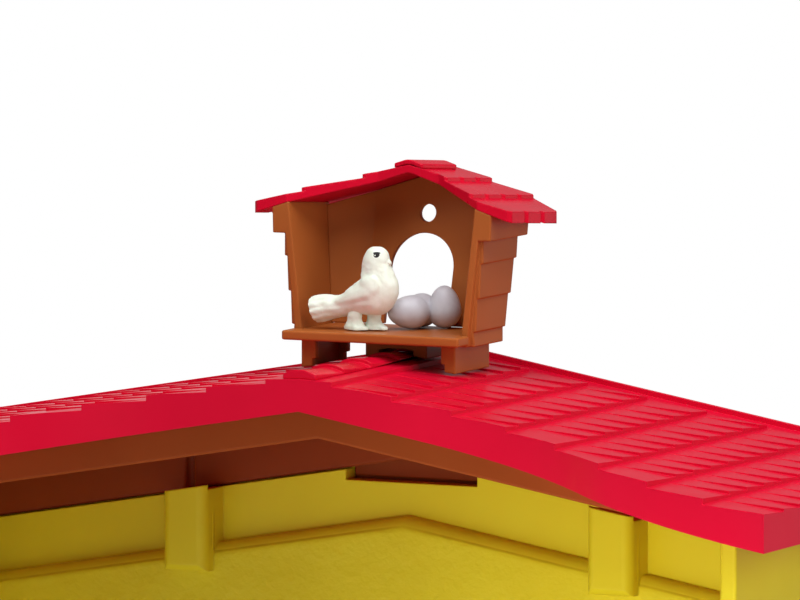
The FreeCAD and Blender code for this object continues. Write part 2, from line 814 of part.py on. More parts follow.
def make_cote_walls():
    """A leaning board clad with lapped planks that step in towards the floor."""
    floor = value(COTE_FLOOR)
    front = value(COTE_FRONT)
    board = value("cote_board")
    skirt = -value("skirt_drop")
    high = value("cote_roof_rise")
    rear_low = front + value("cote_side_depth_low") + value("cote_back_thick")
    rear_lean = (value("cote_side_depth_high") - value("cote_side_depth_low")) / value("cote_wall_height")

    def face(z, out):
        return cote_inner(z) + out

    def clad(low, top, start, out_low, out_top):
        section = [
            (face(low, 0), floor + low), (face(low, out_low), floor + low),
            (face(top, out_top), floor + top), (face(top, 0), floor + top)]
        return prism_along_y(section, start, front + value("cote_roof_depth"))

    head = board + value("plank_head")
    butt = board + value("plank_butt")
    plank_start = front + value("plank_front")
    laps = [value(name) for name in ("top_plank_low", "plank_one_low", "plank_two_low",
                                     "plank_three_low")]
    solids = [clad(skirt, high, front, board, board)]
    for low, top in zip(laps[1:] + [skirt], laps):
        solids.append(clad(low, top, plank_start, butt, head))
    top_plank = board + value("top_plank_rise")
    solids.append(clad(laps[0], high, front, top_plank, board + value("top_plank_rise") / 2))
    wall = fused(solids)

    def rear(z):
        return rear_low + rear_lean * z

    reach = value("cote_roof_half")
    behind = polygon_face([
        vector(0, rear(skirt), floor + skirt), vector(0, rear(high), floor + high),
        vector(0, rear(high) + reach, floor + high), vector(0, rear(high) + reach, floor + skirt)])
    wall = wall.cut(behind.extrude(vector(reach * 2, 0, 0)))
    wall = wall.common(under_cote_roof()).removeSplitter()
    right = shaped("cote_wall_right", wall)
    mirrored("cote_wall_left", right)


def make_feet():
    """Channel-shaped feet, open towards the ridge, that stand on the slopes."""
    body = new_body("cote_foot_right")
    outer = "foot_outer"
    inner = "(foot_outer - foot_width)"
    front = f"({COTE_FRONT} - cote_lip + foot_front)"
    rear = f"({front} + foot_depth)"
    under = f"({COTE_FLOOR} - cote_floor_thick)"
    plan = sketch_on(body, "XY_Plane", under)
    outline(plan, [
        (inner, front), (outer, front), (outer, rear), (inner, rear),
        (inner, f"{rear} - foot_flange"), (f"{outer} - foot_web", f"{rear} - foot_flange"),
        (f"{outer} - foot_web", f"{front} + foot_flange"), (inner, f"{front} + foot_flange"),
    ])
    pad(body, plan, "cote_lift + roof_slope * foot_outer", backwards=True)
    gain = "(shingle_step * shingle_rows / (roof_half - first_butt))"
    seat = f"({ROOF_TOP} + shingle_lap + fit_gap - {gain} * first_butt)"
    seat_slope = f"(roof_slope - {gain})"
    trim = sketch_on(body, "XZ_Plane")
    outline(trim, [
        ("0", "0"),
        ("roof_half", "0"),
        ("roof_half", f"{seat} - {seat_slope} * roof_half"),
        ("0", seat),
    ])
    pocket(body, trim)
    notch = sketch_on(body, "XZ_Plane")
    rectangle(notch, "0", "soffit_apex", f"{inner} + foot_notch / 2",
              f"{seat} - {seat_slope} * {inner} + foot_notch")
    pocket(body, notch)
    mirrored("cote_foot_left", body)


def make_saddle():
    """Block under the floor whose underside is hollowed to clear the ridge tiles."""
    body = new_body("cote_saddle")
    front = f"({COTE_FRONT} - cote_lip + saddle_front)"
    under = f"({COTE_FLOOR} - cote_floor_thick)"
    seat = f"({ROOF_TOP} + shingle_step + shingle_lap / 2 + fit_gap)"
    arch = f"({ROOF_TOP} + ridge_rise + fit_gap)"
    section = sketch_on(body, "XZ_Plane", f"-{front}")
    inner = "(ridge_half + fit_gap)"
    outline(section, [
        ("-saddle_half", f"{seat} - roof_slope * saddle_half + fit_gap"),
        (f"-{inner}", f"{seat} - roof_slope * {inner} + fit_gap"),
        (f"-{inner}", f"{arch} - roof_slope * {inner} / 2"),
        (f"-{inner} / 2", arch),
        (f"{inner} / 2", arch),
        (inner, f"{arch} - roof_slope * {inner} / 2"),
        (inner, f"{seat} - roof_slope * {inner} + fit_gap"),
        ("saddle_half", f"{seat} - roof_slope * saddle_half + fit_gap"),
        ("saddle_half", under),
        ("-saddle_half", under),
    ])
    pad(body, section, "saddle_depth", backwards=True)


def cote_row_plan(head, butt):
    """Plan of one row of the dovecote's roof from head to butt, with a tongue for each shingle."""
    corner = value("cote_shingle_corner")
    front = value(COTE_FRONT)
    root = butt - corner
    near = front + cote_sweep(butt)
    far = cote_rear(butt)
    count = max(round((far - near) / value("cote_shingle_width")), 1)
    width = (far - near) / count
    bends = [value(name) for name in ("cote_sweep_from", "cote_sweep_to", "cote_rear_from")]
    stops = [head] + sorted(x for x in bends if head < x < root) + [root]
    points = [(x, front + cote_sweep(x)) for x in stops]
    for index in range(count):
        start = near + index * width
        points += [(butt, start + corner), (butt, start + width - corner)]
        if index < count - 1:
            points.append((root, start + width))
    return points + [(x, cote_rear(x)) for x in reversed(stops)]


def make_cote_roof():
    """A swept sheet with rows of shingles from the ridge down to the eave."""
    front = value(COTE_FRONT)
    depth = value("cote_roof_depth")
    eave = value("cote_roof_half")
    rows = int(value("cote_shingle_rows"))
    step = value("cote_shingle_step")
    sheet_thick = value("cote_roof_sheet")
    run = eave / rows
    solids = [slab(cote_row_plan(0, eave), cote_roof_height, sheet_thick)]
    for row in range(rows):
        head = row * run

        def height(x, y, head=head):
            return cote_roof_height(x, y) + step * (x - head) / run

        solids.append(slab(cote_row_plan(head, head + run), height, step + sheet_thick / 2))
    right = shaped("cote_roof_right", fused(solids))
    mirrored("cote_roof_left", right)

    half = value("cote_cap_half")
    rise = value("cote_cap_rise") + step * half / run
    start = front + value("cote_sweep")
    ridge_start = cote_roof_height(0, start) + step * half / run
    end = start + depth - value("cote_cap_short")
    ridge_end = cote_roof_height(0, end) + step * half / run
    drop = value("cote_roof_slope") * half

    def cap_section(y, ridge):
        return Part.makePolygon([
            vector(-half, y, ridge - drop), vector(-half, y, ridge - drop + rise),
            vector(0, y, ridge + rise), vector(half, y, ridge - drop + rise),
            vector(half, y, ridge - drop), vector(0, y, ridge), vector(-half, y, ridge - drop)])

    cap = Part.makeLoft([cap_section(start, ridge_start), cap_section(end, ridge_end)], True, True)
    shaped("cote_ridge_cap", cap)


# Figures

# Rings round the dove from its fan tail to its crown, in a bird of unit height: the upper
# point's place along the bird and height, the same of the lower point, and the half width
DOVE_RINGS = [
    (-0.710, 0.363, -0.629, 0.081, 0.170),
    (-0.524, 0.391, -0.464, 0.097, 0.145),
    (-0.302, 0.395, -0.238, 0.149, 0.133),
    (-0.141, 0.528, -0.060, 0.181, 0.185),
    (-0.032, 0.613, 0.238, 0.190, 0.226),
    (-0.028, 0.685, 0.387, 0.323, 0.214),
    (-0.024, 0.742, 0.440, 0.492, 0.177),
    (-0.020, 0.790, 0.379, 0.669, 0.149),
    (-0.008, 0.847, 0.323, 0.774, 0.137),
    (0.032, 0.923, 0.310, 0.871, 0.121),
    (0.089, 0.990, 0.234, 0.982, 0.065),
]
BEAK_RINGS = [
    (0.270, 0.880, 0.290, 0.750, 0.060),
    (0.352, 0.810, 0.350, 0.785, 0.012),
]
LEG_RINGS = [
    (0.150, 0.000, -0.120, 0.000, 0.080),
    (0.150, 0.040, -0.120, 0.040, 0.075),
    (0.090, 0.075, -0.090, 0.075, 0.065),
    (0.110, 0.300, -0.100, 0.300, 0.085),
]
# Where the two feet stand: along the bird, across it
DOVE_FEET = [(-0.10, -0.09), (0.10, 0.09)]


def faceted(rings):
    """A closed solid of flat facets over rings that have as many points each."""
    faces = [polygon_face(rings[0]), polygon_face(rings[-1])]
    for low, high in zip(rings, rings[1:]):
        for index, point in enumerate(low):
            after = (index + 1) % len(low)
            faces.append(polygon_face([point, low[after], high[after]]))
            faces.append(polygon_face([point, high[after], high[index]]))
    shell = Part.makeShell(faces)
    shell.sewShape()
    solid = Part.makeSolid(shell)
    if solid.Volume < 0:
        solid.reverse()
    return solid


def make_dove():
    """A standing dove that looks along +X: one skin from fan tail to crown, a beak and two legs."""
    tall = value("dove_height")
    corners = int(value("ring_count"))
    stand = vector(value("dove_offset"), value(COTE_FRONT) - value("cote_lip") + value("dove_depth"),
                   value(COTE_FLOOR) + value("stand_gap"))

    def ring(section, shift=0, across=0):
        upper_along, upper, lower_along, lower, half = section
        points = []
        for index in range(corners):
            turn = 2 * math.pi * index / corners
            share = (1 + math.cos(turn)) / 2
            along = shift + lower_along + (upper_along - lower_along) * share
            up = lower + (upper - lower) * share
            points.append(stand + vector(along, across + half * math.sin(turn), up) * tall)
        return points

    pieces = [faceted([ring(section) for section in rings]) for rings in (DOVE_RINGS, BEAK_RINGS)]
    for shift, across in DOVE_FEET:
        pieces.append(faceted([ring(section, shift, across) for section in LEG_RINGS]))
    shaped("dove", fused(pieces))


def egg():
    """An egg that stands on its round end and narrows towards its crown."""
    radius = value("egg_diameter") / 2
    high = value("egg_length") - radius
    corners = int(value("ring_count"))
    levels = corners // 2
    rings = []
    for level in range(levels):
        angle = math.pi * ((level + 0.5) / levels - 0.5)
        half = radius * math.cos(angle) * (1 - value("egg_taper") * max(math.sin(angle), 0))
        up = (high if angle > 0 else radius) * math.sin(angle)
        turns = [2 * math.pi * index / corners for index in range(corners)]
        rings.append([vector(half * math.cos(turn), half * math.sin(turn), up) for turn in turns])
    return faceted(rings)


# How the two lying eggs point, in degrees from +X, and where they lie in shares of the spread
LYING_EGGS = [(200, -1.0, -0.7), (300, -0.8, 0.8)]
# Where the upright egg stands
UPRIGHT_EGG = (0.95, 0.7)


def make_eggs():
    """Three eggs moulded in one piece, because an egg cannot stand on end alone."""
    radius = value("egg_diameter") / 2
    spread = value("egg_spread")
    floor = value(COTE_FLOOR) + value("stand_gap")
    middle = vector(value("egg_offset"), value(COTE_FRONT) - value("cote_lip") + value("egg_depth"),
                    floor + radius - value("egg_sunk"))
    origin = vector(0, 0, 0)
    upright = egg()
    upright.translate(middle + vector(*UPRIGHT_EGG, 0) * spread)
    eggs = [upright]
    for turn, across, back in LYING_EGGS:
        lying = egg()
        lying.rotate(origin, vector(0, 1, 0), 90)
        lying.rotate(origin, vector(0, 0, 1), turn)
        lying.translate(middle + vector(across, back, 0) * spread)
        eggs.append(lying)
    reach = 3 * value("egg_length")
    room = Part.makeBox(2 * reach, 2 * reach, reach, vector(middle.x - reach, middle.y - reach, floor))
    shaped("egg_clutch", fused([piece.common(room) for piece in eggs]))


make_back_wall()
make_side_walls()
make_doors()
make_truss()
make_gable_boards()
make_tongues()
make_roof()
make_ridge_tiles()
make_cote_floor()
make_cote_back_wall()
make_cote_walls()
make_feet()
make_saddle()
make_cote_roof()
make_dove()
make_eggs()
doc.recompute()

# Each piece has to be whole before any file is written
for item in doc.Objects:
    if "Invalid" in item.State or "Error" in item.State:
        raise RuntimeError(f"{item.Label} failed: {item.State}")
for subpart in subparts:
    if subpart.Shape.isNull() or not subpart.Shape.isValid():
        raise RuntimeError(f"{subpart.Label} has no valid shape")
    if len(subpart.Shape.Solids) != 1:
        raise RuntimeError(f"{subpart.Label} has {len(subpart.Shape.Solids)} solids")

os.makedirs("parts", exist_ok=True)
for subpart in subparts:
    subpart.Shape.exportStep(f"parts/{subpart.Label}.step")
    box = subpart.Shape.BoundBox
    print(subpart.Label, [round(number, 2) for number in (
        box.XMin, box.XMax, box.YMin, box.YMax, box.ZMin, box.ZMax, subpart.Shape.Volume)])
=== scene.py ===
"""Looks of a toy barn with a dovecote on the ridge of its lift-off roof."""

import json
import math

import bmesh
import bpy
from mathutils import Matrix, Vector, noise


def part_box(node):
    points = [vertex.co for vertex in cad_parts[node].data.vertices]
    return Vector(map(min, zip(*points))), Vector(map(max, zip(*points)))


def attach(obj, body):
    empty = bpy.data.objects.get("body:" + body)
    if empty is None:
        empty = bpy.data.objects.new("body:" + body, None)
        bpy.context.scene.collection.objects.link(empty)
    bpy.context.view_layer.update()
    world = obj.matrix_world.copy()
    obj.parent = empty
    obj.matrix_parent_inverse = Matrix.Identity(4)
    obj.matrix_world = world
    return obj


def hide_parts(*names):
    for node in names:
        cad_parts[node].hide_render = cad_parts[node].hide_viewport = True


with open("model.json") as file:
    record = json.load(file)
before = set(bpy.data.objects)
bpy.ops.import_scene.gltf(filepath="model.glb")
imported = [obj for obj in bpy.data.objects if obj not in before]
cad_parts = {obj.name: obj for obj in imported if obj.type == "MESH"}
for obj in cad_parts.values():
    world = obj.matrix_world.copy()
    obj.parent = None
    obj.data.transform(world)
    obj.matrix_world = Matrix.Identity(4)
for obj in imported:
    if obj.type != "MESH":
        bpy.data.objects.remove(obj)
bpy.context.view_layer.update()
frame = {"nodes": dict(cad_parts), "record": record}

MM = 0.001
BODY_OF = {node: body for body, nodes in frame["record"]["behaviour"]["bodies"].items() for node in nodes}


# Materials

def srgb(red, green, blue):
    """A colour as it looks on screen, 0 to 255, as the shader's linear colour."""
    def linear(level):
        share = level / 255
        return share / 12.92 if share <= 0.04045 else ((share + 0.055) / 1.055) ** 2.4
    return linear(red), linear(green), linear(blue), 1.0


NOISE_LOW, NOISE_HIGH = 0.3, 0.7


class Nodes:
    """Short ways to add and join the nodes of one material."""

    def __init__(self, tree):
        self.tree = tree

    def add(self, kind, **values):
        node = self.tree.nodes.new(kind)
        for name, value in values.items():
            setattr(node, name, value)
        return node

    def join(self, source, target):
        self.tree.links.new(source, target)

    def feed(self, socket, value):
        if isinstance(value, bpy.types.NodeSocket):
            self.join(value, socket)
        else:
            socket.default_value = value

    def math(self, operation, first, second=0.0, clamp=False):
        node = self.add("ShaderNodeMath", operation=operation, use_clamp=clamp)
        self.feed(node.inputs[0], first)
        self.feed(node.inputs[1], second)
        return node.outputs[0]

    def noise(self, coordinates, scale, detail=2.0, roughness=0.5):
        node = self.add("ShaderNodeTexNoise")
        self.join(coordinates, node.inputs["Vector"])
        node.inputs["Scale"].default_value = scale
        node.inputs["Detail"].default_value = detail
        node.inputs["Roughness"].default_value = roughness
        return node.outputs["Fac"]

    def span(self, value, low, high, start, end):
        """The value from low..high moved to start..end, smooth at both ends."""
        node = self.add("ShaderNodeMapRange", interpolation_type="SMOOTHSTEP")
        self.join(value, node.inputs["Value"])
        for name, number in (("From Min", low), ("From Max", high), ("To Min", start), ("To Max", end)):
            node.inputs[name].default_value = number
        return node.outputs["Result"]

    def even(self, value, start, end):
        """Noise stretched from its usual levels to start..end."""
        return self.span(value, NOISE_LOW, NOISE_HIGH, start, end)

    def mix(self, share, first, second):
        node = self.add("ShaderNodeMix", data_type="RGBA")
        self.feed(node.inputs[0], share)
        self.feed(node.inputs[6], first)
        self.feed(node.inputs[7], second)
        return node.outputs[2]

    def bump(self, height, strength, distance, normal=None):
        node = self.add("ShaderNodeBump")
        node.inputs["Strength"].default_value = strength
        node.inputs["Distance"].default_value = distance
        self.join(height, node.inputs["Height"])
        if normal is not None:
            self.join(normal, node.inputs["Normal"])
        return node.outputs["Normal"]


def start_material(name):
    material = bpy.data.materials.new(name)
    material.use_nodes = True
    nodes = Nodes(material.node_tree)
    shader = material.node_tree.nodes["Principled BSDF"]
    place = nodes.add("ShaderNodeTexCoord").outputs["Object"]
    return material, nodes, shader, place


# Plastics: noise scales per metre, and the normal's height over which an underside turns matt
FLOW_MARKS = 38.0
GLOSS_PATCHES = 55.0
MOULD_GRAIN = 420.0
GRAIN_DEPTH = 0.10 * MM
UNDERSIDE = (-0.45, -0.15)
UNDERSIDE_MATT = 0.6


def plastic(name, colour, deep, rough, grain, specular, edge, relief=None):
    """Moulded plastic: slow flow marks, uneven gloss, a fine grain, soft edges and a matt underside."""
    material, nodes, shader, place = start_material(name)
    flow = nodes.even(nodes.noise(place, FLOW_MARKS, 1.0), 0.0, 1.0)
    nodes.join(nodes.mix(flow, deep, colour), shader.inputs["Base Color"])
    uneven = nodes.even(nodes.noise(place, GLOSS_PATCHES, 1.0), rough - 0.02, rough + 0.03)
    soft = nodes.add("ShaderNodeBevel", samples=6)
    soft.inputs["Radius"].default_value = edge
    skin = nodes.bump(nodes.noise(place, MOULD_GRAIN, 1.0), grain, GRAIN_DEPTH, soft.outputs["Normal"])
    if relief is not None:
        skin = relief(nodes, place, skin)
    nodes.join(skin, shader.inputs["Normal"])
    facing = nodes.add("ShaderNodeSeparateXYZ")
    nodes.join(nodes.add("ShaderNodeNewGeometry").outputs["Normal"], facing.inputs[0])
    matt = nodes.span(facing.outputs["Z"], *UNDERSIDE, UNDERSIDE_MATT, 0.0)
    nodes.join(nodes.math("ADD", uneven, matt), shader.inputs["Roughness"])
    shader.inputs["Specular IOR Level"].default_value = specular
    return material


# The ledge of the back wall: the front of its thick lower part, and the ledge's top at the ridge
WALL_LOWER = 13.0 * MM
TRUSS_ABOVE_SOFFIT = 6.5 * MM
LEDGE_DROP = 38.0 * MM
LEDGE_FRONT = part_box("back_wall")[1].y - WALL_LOWER
LEDGE_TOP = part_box("front_truss")[1].z - TRUSS_ABOVE_SOFFIT - LEDGE_DROP
STUCCO_FADE = 6 * MM
STUCCO_GRAIN = 170.0
STUCCO_DEPTH = 1.4 * MM


def stucco(nodes, place, skin):
    """A trowelled relief on the thick lower part of the barn's back wall."""
    axes = nodes.add("ShaderNodeSeparateXYZ")
    nodes.join(place, axes.inputs[0])
    nearer = nodes.span(axes.outputs["Y"], LEDGE_FRONT - 0.8 * MM, LEDGE_FRONT - 0.3 * MM, 0.0, 1.0)
    farther = nodes.span(axes.outputs["Y"], LEDGE_FRONT + 0.2 * MM, LEDGE_FRONT + 0.6 * MM, 1.0, 0.0)
    on_face = nodes.math("MULTIPLY", nearer, farther)
    below = nodes.span(axes.outputs["Z"], LEDGE_TOP - STUCCO_FADE, LEDGE_TOP, 1.0, 0.0)
    trowelled = nodes.noise(place, STUCCO_GRAIN, 5.0, 0.6)
    relief = nodes.math("MULTIPLY", nodes.math("MULTIPLY", trowelled, on_face), below)
    return nodes.bump(relief, 0.5, STUCCO_DEPTH, skin)


RED = plastic("red_plastic", srgb(214, 10, 46), srgb(207, 8, 42),
              rough=0.26, grain=0.02, specular=0.20, edge=0.6 * MM)
SLOPE_RED = plastic("slope_red_plastic", srgb(214, 10, 48), srgb(211, 9, 46),
                    rough=0.30, grain=0.02, specular=0.20, edge=0.12 * MM)
YELLOW = plastic("yellow_plastic", srgb(226, 206, 36), srgb(223, 202, 33),
                 rough=0.42, grain=0.03, specular=0.30, edge=0.8 * MM, relief=stucco)
BROWN = plastic("brown_plastic", srgb(170, 95, 45), srgb(164, 90, 41),
                rough=0.30, grain=0.03, specular=0.20, edge=0.6 * MM)
# Painted shade on the front truss: the same brown plastic as BROWN, painted a little darker and redder for
# the shade under the barn's roof.
DIMMED_BROWN = plastic("dimmed_brown_plastic", srgb(168, 78, 31), srgb(162, 74, 28),
               rough=0.32, grain=0.03, specular=0.18, edge=0.6 * MM)
# Painted shade on the doors, gable boards and tab: the same brown plastic as BROWN, painted darker and
# redder for the deep shade under the barn's roof.
SHADED_BROWN = plastic("shaded_brown_plastic", srgb(142, 60, 25), srgb(136, 56, 22),
                 rough=0.34, grain=0.03, specular=0.16, edge=0.6 * MM)


def dove_paint():
    """Off-white soft plastic with moulded feather lines and a painted eye."""
    material, nodes, shader, place = start_material("dove_white")
    tint = nodes.even(nodes.noise(place, 420.0, 3.0), 0.0, 1.0)
    feathers = nodes.mix(tint, srgb(227, 236, 219), srgb(235, 244, 230))
    nodes.join(nodes.mix(eye_mask(nodes, place), feathers, srgb(14, 12, 12)), shader.inputs["Base Color"])
    barbs = nodes.noise(place, 900.0, 4.0, 0.65)
    nodes.join(nodes.bump(barbs, 0.35, 0.25 * MM), shader.inputs["Normal"])
    nodes.join(nodes.even(barbs, 0.50, 0.62), shader.inputs["Roughness"])
    shader.inputs["Subsurface Weight"].default_value = 0.15
    shader.inputs["Subsurface Radius"].default_value = (0.0012, 0.0011, 0.0009)
    return material


# The dove: its box, its height, where it stands, and its eye (along, up) in a bird of unit height
DOVE_LOW, DOVE_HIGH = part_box("dove")
DOVE_TALL = 24.8 * MM
DOVE_STAND = Vector((-6.0 * MM, (DOVE_LOW.y + DOVE_HIGH.y) / 2, DOVE_LOW.z))
EYE = (0.200, 0.905)


def eye_mask(nodes, place):
    """1 on the painted eye: a round pupil with a lash above it, on both sides of the head, less a painted
    highlight, a glint where the feather colour shows in the pupil.
    """
    axes = nodes.add("ShaderNodeSeparateXYZ")
    nodes.join(place, axes.inputs[0])
    eye_x = DOVE_STAND.x + EYE[0] * DOVE_TALL
    eye_z = DOVE_STAND.z + EYE[1] * DOVE_TALL

    def spot(along, up, half_along, half_up):
        across = nodes.math("DIVIDE", nodes.math("SUBTRACT", axes.outputs["X"], eye_x + along), half_along)
        above = nodes.math("DIVIDE", nodes.math("SUBTRACT", axes.outputs["Z"], eye_z + up), half_up)
        across_square = nodes.math("MULTIPLY", across, across)
        above_square = nodes.math("MULTIPLY", above, above)
        return nodes.span(nodes.math("ADD", across_square, above_square), 0.75, 1.1, 1.0, 0.0)

    pupil = spot(0.25 * MM, 0.0, 0.90 * MM, 0.85 * MM)
    lash = spot(0.20 * MM, 0.50 * MM, 1.10 * MM, 0.34 * MM)
    # A painted highlight: the glint leaves the feather colour inside the black pupil.
    glint = spot(-0.15 * MM, -0.15 * MM, 0.20 * MM, 0.20 * MM)
    return nodes.math("SUBTRACT", nodes.math("MAXIMUM", pupil, lash), glint, clamp=True)


def egg_paint():
    """Satin lilac-grey plastic with faint mottling."""
    material, nodes, shader, place = start_material("egg_grey")
    mottle = nodes.even(nodes.noise(place, 260.0, 4.0), 0.0, 1.0)
    nodes.join(nodes.mix(mottle, srgb(196, 195, 202), srgb(206, 206, 212)), shader.inputs["Base Color"])
    skin = nodes.noise(place, 1800.0, 3.0)
    nodes.join(nodes.bump(skin, 0.12, 0.06 * MM), shader.inputs["Normal"])
    nodes.join(nodes.even(skin, 0.34, 0.44), shader.inputs["Roughness"])
    shader.inputs["Subsurface Weight"].default_value = 0.1
    shader.inputs["Subsurface Radius"].default_value = (0.001, 0.0009, 0.0009)
    return material


# Pieces

def piece(name, shape, material, nodes):
    """A smooth-shaded object from a bmesh, in place of the CAD nodes it stands for."""
    mesh = bpy.data.meshes.new(name)
    bmesh.ops.recalc_face_normals(shape, faces=shape.faces)
    shape.to_mesh(mesh)
    shape.free()
    mesh.shade_smooth()
    mesh.materials.append(material)
    made = bpy.data.objects.new(name, mesh)
    bpy.context.scene.collection.objects.link(made)
    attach(made, BODY_OF[nodes[0]])
    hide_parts(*nodes)
    return made


def soften(made, width, segments=3, angle=30):
    """Rounds the edges as a mould does, and keeps the flat faces flat."""
    bevel = made.modifiers.new("soft_edges", "BEVEL")
    bevel.width = width
    bevel.segments = segments
    bevel.limit_method = "ANGLE"
    bevel.angle_limit = math.radians(angle)
    bevel.use_clamp_overlap = True
    made.modifiers.new("flat_faces", "WEIGHTED_NORMAL")


# Slants are long edges at which two faces meet at a middling angle, such as the wall's ledge
FACET_ANGLE = math.radians(1.5)
SEAM_REACH = 0.05 * MM
SLANT_LENGTH = 20 * MM
SLANT_FROM, SLANT_TO = 0.6, 1.0
SLANT_ROUND = 1.5 * MM


def moulded(node, material, width, segments=3):
    """The node's own form: facets merged, faces in the ridge plane left out, slants and edges rounded."""
    shape = bmesh.new()
    shape.from_mesh(frame["nodes"][node].data)
    bmesh.ops.remove_doubles(shape, verts=shape.verts, dist=0.01 * MM)
    bmesh.ops.dissolve_limit(shape, angle_limit=FACET_ANGLE, verts=shape.verts, edges=shape.edges)
    seam = [face for face in shape.faces if all(abs(vert.co.x) < SEAM_REACH for vert in face.verts)]
    bmesh.ops.delete(shape, geom=seam, context="FACES")
    slants = [edge for edge in shape.edges if edge.calc_length() > SLANT_LENGTH
              and SLANT_FROM < edge.calc_face_angle(0.0) < SLANT_TO]
    bmesh.ops.bevel(shape, geom=slants, offset=SLANT_ROUND, segments=5, profile=0.5,
                    affect="EDGES", clamp_overlap=True)
    soften(piece(f"{node}_moulding", shape, material, [node]), width, segments)


def loft(shape, rings):
    """Quads between rings that have as many points each, and a face at both ends."""
    rows = [[shape.verts.new(point) for point in ring] for ring in rings]
    for low, high in zip(rows, rows[1:]):
        for index in range(len(low)):
            after = (index + 1) % len(low)
            shape.faces.new((low[index], low[after], high[after], high[index]))
    shape.faces.new(rows[0])
    shape.faces.new(rows[-1])


# Figures

# Rings of the dove: upper point (along, up), lower point (along, up), half width and how far it is fanned
DOVE_RINGS = [
    (-0.700, 0.360, -0.600, 0.060, 0.160, 1.0),
    (-0.620, 0.385, -0.530, 0.070, 0.155, 0.8),
    (-0.500, 0.398, -0.430, 0.100, 0.140, 0.5),
    (-0.302, 0.405, -0.238, 0.150, 0.130, 0.2),
    (-0.141, 0.528, -0.060, 0.181, 0.170, 0.0),
    (-0.032, 0.613, 0.238, 0.190, 0.200, 0.0),
    (-0.028, 0.685, 0.387, 0.323, 0.192, 0.0),
    (-0.024, 0.742, 0.440, 0.492, 0.168, 0.0),
    (-0.020, 0.790, 0.385, 0.669, 0.148, 0.0),
    (-0.008, 0.847, 0.330, 0.774, 0.140, 0.0),
    (0.018, 0.905, 0.322, 0.845, 0.128, 0.0),
    (0.050, 0.955, 0.300, 0.925, 0.103, 0.0),
    (0.095, 0.985, 0.255, 0.972, 0.066, 0.0),
    (0.140, 0.996, 0.205, 0.994, 0.026, 0.0),
]
BEAK_RINGS = [
    (0.255, 0.900, 0.285, 0.760, 0.062, 0.0),
    (0.320, 0.855, 0.325, 0.775, 0.034, 0.0),
    (0.352, 0.812, 0.350, 0.788, 0.012, 0.0),
]
LEG_RINGS = [
    (0.170, 0.004, -0.130, 0.004, 0.080, 0.9),
    (0.165, 0.035, -0.135, 0.035, 0.080, 1.0),
    (0.115, 0.065, -0.115, 0.065, 0.072, 0.6),
    (0.085, 0.120, -0.090, 0.120, 0.066, 0.3),
    (0.085, 0.190, -0.085, 0.190, 0.066, 0.1),
    (0.060, 0.290, -0.060, 0.290, 0.040, 0.0),
]
DOVE_FEET = [(-0.10, -0.055), (0.10, 0.055)]
WING_SHOULDER = Vector((0.270, 0.590))
WING_TIP = Vector((-0.330, 0.330))
WING_HALF = 0.15
QUILL_PITCH = 0.030
FAN_LOBE = 0.10

# Heights of the plumage, in millimetres
WING_RISE = 0.50
QUILL_RISE = 0.10
TUFT_RISE = 0.17
DOWN_RISE = 0.12


def between(rings, steps):
    """More rings between the given ones, on a smooth curve through them."""
    smooth = []
    for index in range(len(rings) - 1):
        before, start, end, after = (rings[min(max(index + k, 0), len(rings) - 1)] for k in (-1, 0, 1, 2))
        for step in range(steps):
            t = step / steps
            smooth.append(tuple(
                0.5 * (2 * b + (c - a) * t + (2 * a - 5 * b + 4 * c - d) * t * t
                       + (3 * b - a - 3 * c + d) * t ** 3)
                for a, b, c, d in zip(before, start, end, after)))
    return smooth + [rings[-1]]


def dove_ring(section, shift=0.0, across=0.0, corners=64, feathers=11):
    """One ring round the dove; a fanned ring is lobed like feather tips."""
    upper_along, upper, lower_along, lower, half, fanned = section
    middle = Vector(((upper_along + lower_along) / 2, 0, (upper + lower) / 2))
    reach = Vector(((upper_along - lower_along) / 2, 0, (upper - lower) / 2))
    points = []
    for index in range(corners):
        turn = 2 * math.pi * index / corners
        lobe = 1 + FAN_LOBE * fanned * (abs(math.cos(turn * feathers / 2)) - 0.6)
        point = middle + lobe * (math.cos(turn) * reach + Vector((0, half * math.sin(turn), 0)))
        points.append(DOVE_STAND + DOVE_TALL * (point + Vector((shift, across, 0))))
    return points


def ramp(value, low, high):
    """0 below low, 1 above high, smooth between."""
    share = min(max((value - low) / (high - low), 0.0), 1.0)
    return share * share * (3 - 2 * share)


def plumage(point):
    """Height of the folded wing and the feather tufts at a point of the dove."""
    spot = (point - DOVE_STAND) / DOVE_TALL
    along_wing = WING_SHOULDER - WING_TIP
    offset = Vector((spot.x, spot.z)) - WING_TIP
    share = offset.dot(along_wing) / along_wing.length_squared
    beside = (offset - share * along_wing).length
    rounded = math.sqrt(max(1 - (2 * share - 1) ** 4, 0.0))
    reach = WING_HALF * rounded * (0.45 + 0.55 * min(max(share, 0.0), 1.0))
    wing = ramp(reach - beside, -0.015, 0.035) * ramp(abs(spot.y), 0.05, 0.11)
    aside = offset.x * along_wing.y - offset.y * along_wing.x
    quills = 0.5 + 0.5 * math.cos(2 * math.pi * aside / QUILL_PITCH)
    tufts = noise.noise(Vector((spot.x * 9, spot.y * 16, spot.z * 15)))
    down = noise.noise(Vector((spot.x * 22, spot.y * 34, spot.z * 34)))
    below_head = 1 - 0.75 * ramp(spot.z, 0.74, 0.86)
    return (WING_RISE * wing + QUILL_RISE * wing * quills
            + TUFT_RISE * tufts * below_head + DOWN_RISE * down * below_head) * MM


